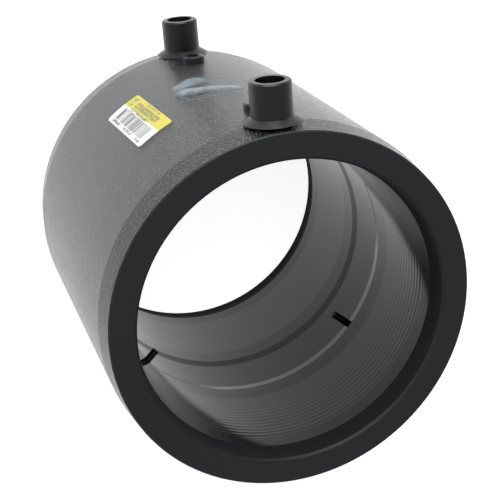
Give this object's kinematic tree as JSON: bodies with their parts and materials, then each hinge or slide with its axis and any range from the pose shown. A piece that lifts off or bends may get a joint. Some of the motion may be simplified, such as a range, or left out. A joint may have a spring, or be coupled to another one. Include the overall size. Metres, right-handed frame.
{
  "type": "electrofusion coupler",
  "caption": "Black polyethylene sleeve that joins two pipe ends by electric fusion, with a buried heating winding in each socket and two shrouded terminals.",
  "frame": {"origin": "centre of the bottom end face, on the bore axis", "axes": "+Z along the bore axis from the bottom end to the top end, +X from the bore axis out through the two terminals"},
  "size_m": [0.1902, 0.172, 0.18],
  "materials": {
    "black_polyethylene": "black PE100, spark-textured barrel, turned faces and bore",
    "winding_polyethylene": "black PE with the winding's fine ridges",
    "heating_wire": "bare resistance wire",
    "shroud_plastic": "smooth satin black plastic",
    "terminal_brass": "turned brass contact pin",
    "indicator_plastic": "matt black plastic",
    "stop_plastic": "matt black plastic",
    "label_paper": "coated label in yellow and white fields",
    "clear_film": "clear plastic film"
  },
  "bodies": {
    "root": {"bridge_wire": "heating_wire", "clear_film": "clear_film", "coupler_body": "black_polyethylene", "fusion_indicator_bottom": "indicator_plastic", "fusion_indicator_top": "indicator_plastic", "heating_coil_bottom": "heating_wire", "heating_coil_top": "heating_wire", "label": "label_paper", "lead_wire_bottom": "heating_wire", "lead_wire_top": "heating_wire", "pipe_stop_1": "stop_plastic", "pipe_stop_2": "stop_plastic", "pipe_stop_3": "stop_plastic", "pipe_stop_4": "stop_plastic", "terminal_pin_bottom": "terminal_brass", "terminal_pin_top": "terminal_brass", "terminal_shroud_bottom": "shroud_plastic", "terminal_shroud_top": "shroud_plastic", "winding_sleeve_bottom": "winding_polyethylene", "winding_sleeve_top": "winding_polyethylene"}
  },
  "joints": []
}
